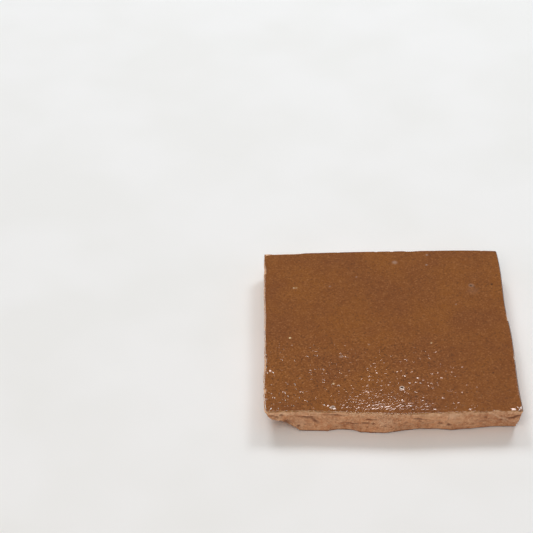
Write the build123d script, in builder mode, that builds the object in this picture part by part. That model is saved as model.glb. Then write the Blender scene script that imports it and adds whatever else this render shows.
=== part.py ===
from build123d import *
import math
import os
import random
from typing import NamedTuple

# Zellige tile: a square of fired clay with a glazed face, cut to size with a sharp hammer.
# Frame: X along the front side, Y from front to back, Z up from the bedding face to the glaze.
# Origin: middle of the bedding face, at the centre of the tile's bounding box. Millimetres.

# Driving dimensions
THICKNESS = 11.0  # bedding face to the glazed face
RIM_RADIUS = 0.45  # glaze pulled round the cut edge by surface tension
CORNER_RADIUS = 0.8  # plan radius left where two cut sides meet

# Corners of the glazed face. It is cut by hand, so no side is quite 100 mm or quite square
FRONT_LEFT = (-49.95, -49.85)
FRONT_RIGHT = (50.40, -49.35)
BACK_RIGHT = (48.60, 50.45)
BACK_LEFT = (-50.20, 48.50)

# How far each side leans in under the face, before the flakes come off
FRONT_UNDERCUT = 0.2
RIGHT_UNDERCUT = 2.2
BACK_UNDERCUT = 1.8
LEFT_UNDERCUT = 2.2

# Unevenness of the face, smoothed and glazed by hand
SWELL = 0.16  # height of the broad swell across the tile
RIPPLE = 0.07  # height of the ripple on top of it
EDGE_DROP = 0.12  # how much lower the glaze lies along the sides
SHEET_REACH = 56.0  # half the width of the uneven sheet that trims the face
SHEET_SPANS = 12  # spans of that sheet each way
TRIM = 0.5  # clay above the face that the sheet takes off

# The broad flakes struck off the front side: (place along X, turn of the blow in degrees,
# width, depth at the bedding face, height up the side)
FRONT_SCARS = [
    (-19.7, 0.0, 13.0, 1.35, 5.5),
    (11.5, 3.0, 32.0, 2.35, 7.5),
    (30.0, 0.0, 22.0, 1.4, 5.0),
    (43.5, 0.0, 34.0, 2.5, 7.8),
]

# The big flake that took the bedding corner away at the front left, and the one beside it
# that runs up under the glaze at the front end of the left side
CORNER_SCAR = (33.0, 12.6, 8.0)  # width, depth, height
LEFT_END_SCAR = (0.955, 3.0, 17.0, 4.0, 9.4)  # share of the side, turn, width, depth, height

# Range of the flakes struck off the other three sides
SCAR_WIDTH = (11.0, 20.0)
SCAR_DEPTH = (0.8, 2.8)
SCAR_HEIGHT = (5.0, 9.6)
SCAR_TURN = 9.0  # largest turn of a blow off the square, degrees
SCAR_SPACING = 0.72  # distance to the next blow, as a share of the scar's width
SCAR_SEED = 11
CUTTER_LENGTH = 60.0  # longer than any scar


class Side(NamedTuple):
    """One cut side, followed anticlockwise round the face.

    The stations are the places where the cut wanders off the line between its corners.
    """

    start: tuple
    stations: list
    end: tuple
    inward: Vector
    undercut: float


FRONT = Side(
    FRONT_LEFT,
    [(-18.8, -49.95), (2.5, -50.88), (22.6, -50.15)],
    FRONT_RIGHT,
    Vector(0, 1),
    FRONT_UNDERCUT,
)
RIGHT = Side(
    FRONT_RIGHT,
    [(49.80, -20.0), (49.80, -1.0), (49.05, 12.0), (49.10, 27.0)],
    BACK_RIGHT,
    Vector(-1, 0),
    RIGHT_UNDERCUT,
)
BACK = Side(
    BACK_RIGHT,
    [(38.3, 50.88), (7.7, 50.33), (-34.4, 49.16)],
    BACK_LEFT,
    Vector(0, -1),
    BACK_UNDERCUT,
)
LEFT = Side(
    BACK_LEFT,
    [(-50.30, 17.5), (-50.20, -18.4), (-50.41, -28.4)],
    FRONT_LEFT,
    Vector(1, 0),
    LEFT_UNDERCUT,
)
SIDES = [FRONT, RIGHT, BACK, LEFT]


def tile_outline(lean):
    """Outline of the tile with each side drawn in by lean times its own undercut."""
    with BuildSketch() as sketch:
        with BuildLine():
            for index, side in enumerate(SIDES):
                before = SIDES[index - 1]
                after = SIDES[(index + 1) % len(SIDES)]
                pull = side.inward * side.undercut * lean
                start = Vector(side.start) + pull + before.inward * before.undercut * lean
                end = Vector(side.end) + pull + after.inward * after.undercut * lean
                Spline(start, *[Vector(point) + pull for point in side.stations], end)
        make_face()
    return sketch.sketch


def face_height(x, y):
    """Height of the glazed face at a point."""
    u = x / SHEET_REACH
    v = y / SHEET_REACH
    swell = SWELL * math.sin(2.1 * u + 0.6) * math.cos(1.7 * v - 0.4)
    ripple = RIPPLE * math.sin(6.3 * u - 1.0) * math.sin(5.2 * v + 0.8)
    return THICKNESS - SWELL / 2 + swell + ripple - EDGE_DROP * (u**4 + v**4)


def face_sheet():
    """The uneven sheet that the glazed face lies on, wider than the tile."""
    steps = [SHEET_REACH * (2 * i / SHEET_SPANS - 1) for i in range(SHEET_SPANS + 1)]
    rows = [[Vector(x, y, face_height(x, y)) for y in steps] for x in steps]
    return Face.make_surface_from_array_of_points(rows)


def strike(foot, inward, undercut, width, depth, height):
    """Knock one hollow flake off the lower edge of the tile.

    foot is the point of the face outline above the blow, and inward the way the blow goes.
    The flake starts at height on the side, and is width wide and depth deep where it
    leaves the bedding face.
    """
    top = foot + inward * undercut * (1 - height / THICKNESS) + Vector(0, 0, height)
    bottom = foot + inward * (undercut + depth)
    fall = (bottom - top).normalized()
    along = Vector(0, 0, 1).cross(inward)
    outward = along.cross(fall)
    bite = depth * height / (bottom - top).length
    radius = ((width / 2) ** 2 + bite**2) / (2 * bite)
    middle = (top + bottom) * 0.5 + outward * radius
    with Locations(Plane(origin=middle, x_dir=along, z_dir=fall)):
        Cylinder(radius, CUTTER_LENGTH, mode=Mode.SUBTRACT)


def strike_side(side, share, turn, width, depth, height):
    """Knock a flake off a side, share of the way along it from its start."""
    curve = Spline(side.start, *side.stations, side.end, mode=Mode.PRIVATE)
    inward = side.inward.rotate(Axis.Z, turn)
    strike(curve @ share, inward, side.undercut, width, depth, height)


with BuildPart() as tile:
    # Blank with leaning sides, from the smaller bedding face up to the glazed face
    with BuildSketch(Plane.XY):
        add(tile_outline(1))
    with BuildSketch(Plane.XY.offset(THICKNESS + TRIM)):
        add(tile_outline(-(TRIM + RIM_RADIUS) / THICKNESS))
    loft()
    corners = tile.edges().filter_by(lambda edge: edge.bounding_box().size.Z > THICKNESS)
    fillet(corners, CORNER_RADIUS)

    # Uneven glazed face with its softened rim
    extrude(face_sheet(), amount=2 * TRIM, dir=(0, 0, 1), mode=Mode.SUBTRACT)
    rim = tile.faces().sort_by(Axis.Z)[-1].edges()
    fillet(rim, RIM_RADIUS)

    # Flakes off the front side and its left corner
    for place, turn, width, depth, height in FRONT_SCARS:
        share = (place - FRONT_LEFT[0]) / (FRONT_RIGHT[0] - FRONT_LEFT[0])
        strike_side(FRONT, share, turn, width, depth, height)
    diagonal = (FRONT.inward + LEFT.inward).normalized()
    corner_undercut = math.hypot(FRONT_UNDERCUT, LEFT_UNDERCUT)
    strike(Vector(FRONT_LEFT), diagonal, corner_undercut, *CORNER_SCAR)
    strike_side(LEFT, *LEFT_END_SCAR)

    # Flakes along the other sides, one blow after the next
    blows = random.Random(SCAR_SEED)
    for side in (RIGHT, BACK, LEFT):
        length = (Vector(side.end) - Vector(side.start)).length
        place = blows.uniform(*SCAR_WIDTH)
        while place < length:
            width = blows.uniform(*SCAR_WIDTH)
            depth = blows.uniform(*SCAR_DEPTH)
            height = blows.uniform(*SCAR_HEIGHT)
            turn = blows.uniform(-SCAR_TURN, SCAR_TURN)
            strike_side(side, place / length, turn, width, depth, height)
            place += width * SCAR_SPACING

tile.part.label = "tile"
os.makedirs("parts", exist_ok=True)
export_step(tile.part, "parts/tile.step")

size = tile.part.bounding_box().size
print(f"tile {size.X:.2f} x {size.Y:.2f} x {size.Z:.2f} mm, {tile.part.volume / 1000:.1f} cm3")
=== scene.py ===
"""A hand-cut zellige tile: a fired terracotta body under a glossy caramel-brown glaze.

Sizes are in millimetres in the tile's own frame and become metres when a mesh is made.
"""

import logging
import math
from dataclasses import dataclass, field, replace
from enum import Enum
from functools import partial
from typing import Any

import bmesh
import bpy
import numpy as np
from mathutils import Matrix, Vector
from mathutils.bvhtree import BVHTree


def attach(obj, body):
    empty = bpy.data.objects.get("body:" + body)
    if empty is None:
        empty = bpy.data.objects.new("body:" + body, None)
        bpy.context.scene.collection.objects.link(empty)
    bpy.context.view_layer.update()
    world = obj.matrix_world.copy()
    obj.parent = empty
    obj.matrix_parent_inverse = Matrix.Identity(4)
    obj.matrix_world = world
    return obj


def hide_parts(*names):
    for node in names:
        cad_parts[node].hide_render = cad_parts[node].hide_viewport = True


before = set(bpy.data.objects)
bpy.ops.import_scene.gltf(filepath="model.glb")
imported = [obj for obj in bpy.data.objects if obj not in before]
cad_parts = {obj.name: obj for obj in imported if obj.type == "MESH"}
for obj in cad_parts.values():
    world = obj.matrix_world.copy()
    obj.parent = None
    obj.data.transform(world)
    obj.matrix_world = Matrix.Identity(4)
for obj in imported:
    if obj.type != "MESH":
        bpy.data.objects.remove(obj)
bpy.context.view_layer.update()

MM = 0.001
NODE = "tile"
BODY = "root"
HALF = 50.0  # half the tile's nominal width
TINY = 1e-9  # keeps a ratio finite, and a border's points on it
MERGE_REACH = 1e-6  # metres between points that are one
MIX_SHARE, MIX_UNDER, MIX_OVER = 0, 6, 7  # inputs of a Mix node that mixes colours
log = logging.getLogger("zellige")


class Side(Enum):
    """The four cut sides, in the order that the outline follows them."""

    FRONT = 0
    RIGHT = 1
    BACK = 2
    LEFT = 3


class Flaw(Enum):
    """Kinds of mark that the kiln left in the glaze."""

    # A crater's dark floor is painted shade, and its lip gets a painted highlight
    CRATER = "burst bubble with a raised ring and a dark floor"
    # A pinhole's darkness is painted shade
    PINHOLE = "small dark hole"
    GRIT = "pale grain stuck in the glaze"
    CLOUD = "pale milky spot under the surface"
    BEAD = "round blister of clear glaze"


def linear(code: str) -> tuple[float, float, float, float]:
    """Turn an sRGB hex colour into linear RGBA.

    Args:
        code: six hex digits, with or without a leading hash.

    Returns:
        Red, green, blue and alpha in linear light.
    """
    # The sRGB curve
    parts = [int(code.lstrip("#")[i : i + 2], 16) / 255 for i in (0, 2, 4)]
    curve = [p / 12.92 if p <= 0.04045 else ((p + 0.055) / 1.055) ** 2.4 for p in parts]
    return (*curve, 1.0)


def per_metre(millimetres: float) -> float:
    """Texture scale that makes one pattern repeat this many millimetres long."""
    return 1.0 / (millimetres * MM)


def add_node(
    tree: bpy.types.NodeTree,
    kind: str,
    inputs: dict[Any, Any] | None = None,
    **settings: Any,
) -> bpy.types.Node:
    """Add a node, set its properties, and fill or link its inputs.

    Args:
        tree: shader or geometry tree that gets the node.
        kind: Blender's name of the node type.
        inputs: input name or index to a value, to the socket that feeds it, or to a node,
            whose first live output then feeds it.
        settings: node properties, such as operation or data_type.

    Returns:
        The new node.
    """
    made = tree.nodes.new(kind)
    for name, value in settings.items():
        setattr(made, name, value)
    for key, value in (inputs or {}).items():
        if isinstance(value, bpy.types.Node):
            value = next(socket for socket in value.outputs if socket.enabled)
        if isinstance(value, bpy.types.NodeSocket):
            tree.links.new(value, made.inputs[key])
        else:
            made.inputs[key].default_value = value
    return made


def smooth_step(low: float, high: float, value: np.ndarray) -> np.ndarray:
    """Rise from 0 at low to 1 at high with level ends."""
    t = np.clip((value - low) / (high - low), 0.0, 1.0)
    return t * t * (3 - 2 * t)


def drawn_in(points: np.ndarray, depth: np.ndarray | float) -> np.ndarray:
    """Points of the outline moved a depth in millimetres towards the middle."""
    return points * (1 - np.asarray(depth) / HALF)[..., None]


def turn_of(p: np.ndarray, q: np.ndarray) -> np.ndarray:
    """Say how far round the outline points lie.

    Args:
        p: places across, on the border of the square of -1 to 1.
        q: places from front to back on it.

    Returns:
        Turns, 0 to 4, anticlockwise from the front left corner.
    """
    return np.select(
        [q <= -1 + TINY, p >= 1 - TINY, q >= 1 - TINY],
        [(p + 1) / 2, 1 + (q + 1) / 2, 2 + (1 - p) / 2],
        3 + (1 - q) / 2,
    )


def closed_loop(grid: np.ndarray) -> np.ndarray:
    """Border of a square grid, once round from the front left corner, anticlockwise."""
    parts = [grid[0, :-1], grid[:-1, -1], grid[-1, :0:-1], grid[:0:-1, 0]]
    return np.concatenate(parts)


@dataclass(frozen=True)
class Fade:
    """A value that comes in from one place to another."""

    size: float
    start: float
    full: float

    def at(self, place: np.ndarray) -> np.ndarray:
        """Value at each place."""
        return self.size * smooth_step(self.start, self.full, place)


# How each kind of flaw stands out of the coat, in millimetres, over its distance in radii
FLAW_HEIGHTS = {
    Flaw.CRATER: Fade(-0.03, 0.5, 0.0),
    Flaw.PINHOLE: Fade(-0.02, 1.0, 0.2),
    Flaw.GRIT: Fade(0.05, 1.2, 0.2),
}
# Which value of the coat each kind raises, and by how much
FLAW_TINTS = {
    # A pinhole's dark hole is painted shade
    Flaw.PINHOLE: ("hollow", Fade(1.0, 0.95, 0.35)),
    Flaw.GRIT: ("grit", Fade(1.0, 1.2, 0.6)),
    Flaw.CLOUD: ("milk", Fade(0.3, 1.3, 0.2)),
}


@dataclass(frozen=True)
class RaggedLine:
    """A periodic uneven line, made of a few waves with fixed random phases."""

    height: float
    longest: float
    shortest: float
    seed: int
    waves: int = 28
    weakest: float = 0.4  # least share of its full size that a wave gets
    falloff: float = 0.35  # power by which shorter waves are lower
    spread: float = 1.7  # standard deviations that the height stands for

    def at(self, place: np.ndarray, period: float) -> np.ndarray:
        """Height of the line.

        Args:
            place: places along the line.
            period: length after which the line repeats.

        Returns:
            Heights from about 0 to twice the line's own height.
        """
        draw = np.random.default_rng(self.seed)
        low, high = period / self.longest, period / self.shortest
        counts = np.unique(np.round(np.geomspace(low, high, self.waves)))
        total = np.zeros_like(place)
        for count in counts:
            size = draw.uniform(self.weakest, 1.0) * (low / count) ** self.falloff
            total += size * np.cos(2 * math.pi * (count * place / period + draw.uniform()))
        return self.height * (1 + total / (self.spread * total.std()))


class CadShape:
    """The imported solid, read by rays, so that every surface made here lies on it."""

    FAR = 1.4  # start of a level ray, where 1 is the outline
    ABOVE = 30.0  # height that a downward ray starts from
    TURNS = 4001  # places round the outline that are read
    CORNER_BAND = 1.0  # corners are looked for this far above and below the outline
    FACE_REACH = 48.5  # the face is read up to here, clear of its softened rim
    FACE_STEPS = 70
    FIT_ORDER = 10

    def __init__(self, node: bpy.types.Object, widest: float) -> None:
        """Read the solid.

        Args:
            node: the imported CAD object.
            widest: height of the widest outline, just under the softened rim.
        """
        points = [v.co / MM for v in node.data.vertices]
        faces = [tuple(p.vertices) for p in node.data.polygons]
        self.tree = BVHTree.FromPolygons(points, faces)
        place = np.array(points)
        ring = place[np.abs(place[:, 2] - widest) < self.CORNER_BAND]
        ways = ((-1, -1), (1, -1), (1, 1), (-1, 1))
        self.corners = np.array([ring[(ring[:, :2] @ way).argmax(), :2] for way in ways])
        self.turns = np.linspace(0, 4, self.TURNS)
        self.outline = self.slice(self.turns, np.full_like(self.turns, widest))
        steps = np.linalg.norm(np.diff(self.outline[:, :2], axis=0), axis=1)
        self.run = np.concatenate([[0.0], np.cumsum(steps)])
        self.perimeter = float(self.run[-1])
        self.fit = self.fit_face()

    def aim(self, turn: np.ndarray) -> np.ndarray:
        """Points of the straight-sided figure through the corners.

        Args:
            turn: 0 to 4 round the figure.

        Returns:
            One row of x and y for each turn.
        """
        side = np.floor(turn).astype(int) % 4
        part = (turn - np.floor(turn))[:, None]
        return self.corners[side] * (1 - part) + self.corners[(side + 1) % 4] * part

    def slice(self, turn: np.ndarray, height: np.ndarray) -> np.ndarray:
        """Points where level rays towards the axis meet the sides.

        Args:
            turn: direction of each ray, 0 to 4 round the outline.
            height: height of each ray.

        Returns:
            One row of x, y and z for each ray.
        """
        found = []
        for (x, y), z in zip(self.aim(turn), height):
            start = Vector((x * self.FAR, y * self.FAR, z))
            hit = self.tree.ray_cast(start, Vector((-x, -y, 0)).normalized())[0]
            found.append(tuple(hit) if hit else (x, y, z))
        return np.array(found)

    def fit_face(self) -> np.ndarray:
        """Fit a smooth polynomial to the glazed face, free of the solid's flat facets.

        Returns:
            The factor of each term.
        """
        steps = np.linspace(-self.FACE_REACH, self.FACE_REACH, self.FACE_STEPS)
        x, y = (a.ravel() for a in np.meshgrid(steps, steps))
        top = self.drop(np.column_stack([x, y]), 0.0)
        return np.linalg.lstsq(self.terms(x, y), top, rcond=None)[0]

    def terms(self, x: np.ndarray, y: np.ndarray) -> np.ndarray:
        """Polynomial terms of places on the face.

        Args:
            x: places across.
            y: places from front to back.

        Returns:
            The terms, along a new last axis.
        """
        u, v = x / HALF, y / HALF
        order = self.FIT_ORDER
        return np.stack([u**i * v**j for i in range(order) for j in range(order - i)], -1)

    def face(self, x: np.ndarray, y: np.ndarray) -> np.ndarray:
        """Height of the glazed face, level past the tile's edge."""
        reach = self.FACE_REACH
        return self.terms(np.clip(x, -reach, reach), np.clip(y, -reach, reach)) @ self.fit

    def drop(self, plan: np.ndarray, missed: float) -> np.ndarray:
        """Heights of the solid's top.

        Args:
            plan: rows of x and y.
            missed: height given where a place lies past the solid.

        Returns:
            One height for each row.
        """
        down = Vector((0, 0, -1))
        hits = [self.tree.ray_cast(Vector((x, y, self.ABOVE)), down)[0] for x, y in plan]
        return np.array([hit.z if hit else missed for hit in hits])

    def edge(self, turn: np.ndarray) -> tuple[np.ndarray, np.ndarray]:
        """X and Y of the widest outline at each turn."""
        return tuple(np.interp(turn % 4, self.turns, self.outline[:, i]) for i in (0, 1))

    def place(self, turn: np.ndarray) -> np.ndarray:
        """Distance along the outline to each turn."""
        return np.interp(turn % 4, self.turns, self.run)


@dataclass(frozen=True)
class Chip:
    """A bite out of the glazed rim that shows the clay."""

    side: Side
    middle: float  # distance from the middle of the side, along X or Y
    length: float
    depth: float
    full: float = 0.45  # share of the half length that is bitten to the full depth
    skew: float = 0.0  # towards 1 the bite fades to the right or to the back
    near: float = 45.0  # a point further out than this lies on the chip's own side
    wobble: float = 0.25  # share of the depth that comes and goes along the bite
    wobble_rate: float = 7.3  # radians to a millimetre

    def at(self, x: np.ndarray, y: np.ndarray) -> np.ndarray:
        """Depth of the bite at points of the outline.

        Args:
            x: places across.
            y: places from front to back.

        Returns:
            Depths in millimetres.
        """
        along = x if self.side in (Side.FRONT, Side.BACK) else y
        out = {Side.FRONT: -y, Side.RIGHT: x, Side.BACK: y, Side.LEFT: -x}[self.side]
        reach = (along - self.middle) / (self.length / 2)
        fade = (1 - self.skew * reach) / (1 + abs(self.skew))
        wave = np.cos(along * self.wobble_rate + self.middle)
        rough = 1 - self.wobble + self.wobble * wave
        bite = self.depth * smooth_step(1.0, self.full, np.abs(reach)) * fade * rough
        return np.where(out > self.near, bite, 0.0)


@dataclass(frozen=True)
class Blemish:
    """A mark in the glaze, placed from the middle of the tile."""

    kind: Flaw
    x: float
    y: float
    radius: float
    strength: float = 1.0  # how much of its colour shows


@dataclass(frozen=True)
class Pits:
    """One size of the round hollows that late gas left in the glaze."""

    spacing: float
    smallest: float
    largest: float
    slope: float  # of the steepest bowl at its lip
    rarity: float = 1.0  # how much rarer steep ones are than shallow ones


@dataclass(frozen=True)
class Gouge:
    """A crack, pit or ridge on the front side. A negative depth stands out."""

    x: float
    z: float
    length: float
    height: float
    depth: float
    tilt: float = 0.0  # degrees, rising to the right
    dust: float = 0.0  # how pale the blow left it


@dataclass(frozen=True)
class Lumps:
    """Noise of one size that a relief is made of, in millimetres."""

    name: str
    width: float
    height: float
    detail: float  # finer octaves in it


class MeshMaker:
    """Collects points, point values and faces with texture places, and makes the mesh."""

    def __init__(self) -> None:
        """Start empty."""
        self.points: list[np.ndarray] = []
        self.values: dict[str, list[np.ndarray]] = {}
        self.faces: list[list[int]] = []
        self.places: list[np.ndarray] = []
        self.count = 0

    def add_points(self, points: np.ndarray, **values: np.ndarray | float) -> np.ndarray:
        """Add a grid of points.

        Args:
            points: array of x, y, z in millimetres, last axis 3.
            values: named point attributes, the same names in every call.

        Returns:
            The points' numbers, in the shape of the grid.
        """
        shape = points.shape[:-1]
        size = int(np.prod(shape))
        self.points.append(points.reshape(-1, 3))
        for name, value in values.items():
            self.values.setdefault(name, []).append(np.broadcast_to(value, shape).reshape(-1))
        numbers = np.arange(self.count, self.count + size).reshape(shape)
        self.count += size
        return numbers

    def add_faces(self, corners: np.ndarray, places: np.ndarray) -> None:
        """Add faces of one kind.

        Args:
            corners: point numbers, one row for each face.
            places: texture places of those corners, last axis 2.
        """
        self.faces += corners.tolist()
        self.places.append(places.reshape(-1, 2))

    def add_grid(self, rows: np.ndarray, places: np.ndarray) -> None:
        """Add quads over a grid whose columns run right and whose rows run up.

        Args:
            rows: point numbers in rows and columns.
            places: texture places in the same shape.
        """
        parts = [(slice(0, -1), slice(0, -1)), (slice(0, -1), slice(1, None))]
        parts += [(slice(1, None), slice(1, None)), (slice(1, None), slice(0, -1))]
        corners = np.stack([rows[p] for p in parts], -1).reshape(-1, 4)
        self.add_faces(corners, np.stack([places[p] for p in parts], -2))

    def build(self, name: str) -> bpy.types.Object:
        """Make the object.

        Args:
            name: name of the object and its mesh.

        Returns:
            The linked object, at the origin.
        """
        mesh = bpy.data.meshes.new(name)
        points = np.concatenate(self.points) * MM
        mesh.from_pydata(points.tolist(), [], self.faces)
        for key, parts in self.values.items():
            layer = mesh.attributes.new(key, "FLOAT", "POINT")
            layer.data.foreach_set("value", np.concatenate(parts).astype(np.float32))
        layer = mesh.uv_layers.new(name="OFBake")
        layer.data.foreach_set("uv", np.concatenate(self.places).astype(np.float32).ravel())
        mesh.shade_smooth()
        made = bpy.data.objects.new(name, mesh)
        bpy.context.scene.collection.objects.link(made)
        return made


class ReliefTree:
    """A geometry node tree with named inputs, run once and turned into a plain mesh."""

    def __init__(self, name: str, seed: float) -> None:
        """Start a tree with a geometry input and output.

        Args:
            name: name of the node group.
            seed: fixed seed of its noises, their fourth coordinate.
        """
        self.tree = bpy.data.node_groups.new(name, "GeometryNodeTree")
        self.add = partial(add_node, self.tree)
        self.settings: dict[str, Any] = {}
        for way in ("INPUT", "OUTPUT"):
            self.tree.interface.new_socket("Geometry", in_out=way, socket_type="NodeSocketGeometry")
        self.start = self.add("NodeGroupInput")
        self.where = self.add("GeometryNodeInputPosition")
        self.seed = self.size("Seed", seed)

    def size(self, name: str, value: Any, kind: str = "NodeSocketFloat") -> bpy.types.NodeSocket:
        """Add a named input.

        Args:
            name: the input's name.
            value: what the modifier sets it to.
            kind: socket type.

        Returns:
            The socket that carries it inside the tree.
        """
        socket = self.tree.interface.new_socket(name, in_out="INPUT", socket_type=kind)
        self.settings[socket.identifier] = value
        return self.start.outputs[name]

    def draw_lumps(self, lumps: Lumps, where: Any = None) -> bpy.types.Node:
        """Draw lumps, their width a named input.

        Args:
            lumps: what they are like.
            where: the place, if it isn't the point's own.

        Returns:
            The node with the noise, 0 to 1.
        """
        inputs = {0: 1.0, 1: self.size(f"{lumps.name} size", lumps.width * MM)}
        scale = self.add("ShaderNodeMath", inputs, operation="DIVIDE")
        place = where or self.where
        inputs = {"Vector": place, "Scale": scale, "Detail": lumps.detail, "W": self.seed}
        return self.add("ShaderNodeTexNoise", inputs, noise_dimensions="4D")

    def pile(self, *parts: tuple[Any, Lumps]) -> bpy.types.Node:
        """Add reliefs up, their heights named inputs.

        Args:
            parts: for each relief its node of 0 to 1, and the lumps that it stands for.

        Returns:
            The node with the sum, in metres.
        """
        total: Any = 0.0
        for relief, lumps in parts:
            inputs = {0: relief, 1: self.size(f"{lumps.name} height", lumps.height * MM)}
            part = self.add("ShaderNodeMath", inputs, operation="MULTIPLY")
            total = self.add("ShaderNodeMath", {0: total, 1: part}, operation="ADD")
        return total

    def finish(self, geometry: Any, material: bpy.types.Material) -> None:
        """End the tree in Realize Instances and Set Material.

        Args:
            geometry: the node with the finished shape.
            material: the finish of every face.
        """
        whole = self.add("GeometryNodeRealizeInstances", {"Geometry": geometry})
        worn = self.size("Finish", material, "NodeSocketMaterial")
        dressed = self.add("GeometryNodeSetMaterial", {"Geometry": whole, "Material": worn})
        self.add("NodeGroupOutput", {0: dressed})

    def apply(self, target: bpy.types.Object) -> None:
        """Run the tree on an object and keep the result as its plain mesh.

        Args:
            target: the object whose mesh is changed.
        """
        modifier = target.modifiers.new(self.tree.name, "NODES")
        modifier.node_group = self.tree
        for key, value in self.settings.items():
            modifier[key] = value
        graph = bpy.context.evaluated_depsgraph_get()
        made = bpy.data.meshes.new_from_object(
            target.evaluated_get(graph), preserve_all_data_layers=True, depsgraph=graph
        )
        made.name = target.name
        target.modifiers.remove(modifier)
        target.data = made


@dataclass(frozen=True)
class Grain:
    """A colour that shows where a noise pattern passes a level."""

    colour: str
    width: float  # of a lump, in millimetres
    detail: float  # finer octaves in it
    start: float  # level of the noise where the colour starts to show
    full: float  # level where it shows most
    share: float = 1.0  # how much of it shows there


class Shader:
    """A material's node tree with what the finishes share."""

    def __init__(self, name: str) -> None:
        """Start a material.

        Args:
            name: the material's name.
        """
        self.material = bpy.data.materials.new(name)
        self.material.use_nodes = True
        self.material.node_tree.nodes.clear()
        self.add = partial(add_node, self.material.node_tree)
        self.where = self.add("ShaderNodeTexCoord").outputs["Object"]

    def grain(self, grain: Grain, least: float = 0.0) -> bpy.types.Node:
        """Say how much of a grain shows at each place.

        Args:
            grain: the pattern.
            least: how much shows where there is none of it.

        Returns:
            The node with the share.
        """
        inputs = {"Vector": self.where, "Scale": per_metre(grain.width), "Detail": grain.detail}
        noise = self.add("ShaderNodeTexNoise", inputs)
        inputs = {"Value": noise, "From Min": grain.start, "From Max": grain.full}
        return self.add("ShaderNodeMapRange", {**inputs, "To Min": least, "To Max": grain.share})

    def dome(self, reach: Any) -> bpy.types.Node:
        """Make a round bowl or dome.

        Args:
            reach: distance from its middle, as a share of its radius.

        Returns:
            The node with its height, 1 in the middle and 0 from the rim on.
        """
        square = self.add("ShaderNodeMath", {0: reach, 1: reach}, operation="MULTIPLY")
        rest = self.add("ShaderNodeMath", {0: 1.0, 1: square}, operation="SUBTRACT")
        return self.add("ShaderNodeMath", {0: rest, 1: 0.0}, operation="MAXIMUM")

    def coats(self, base: str, *layers: tuple[Any, str]) -> bpy.types.Node:
        """Lay colours over one another.

        Args:
            base: the colour under them.
            layers: how much of each colour shows, and the colour.

        Returns:
            The node with the colour seen.
        """
        colour: Any = linear(base)
        for share, over in layers:
            inputs = {MIX_SHARE: share, MIX_UNDER: colour, MIX_OVER: linear(over)}
            colour = self.add("ShaderNodeMix", inputs, data_type="RGBA")
        return colour

    def surface(self, inputs: dict[str, Any]) -> bpy.types.Material:
        """End the tree in one Principled shader.

        Args:
            inputs: the shader's sockets to their values or feeds.

        Returns:
            The finished material.
        """
        shader = self.add("ShaderNodeBsdfPrincipled", inputs)
        self.add("ShaderNodeOutputMaterial", {"Surface": shader})
        return self.material


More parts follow.
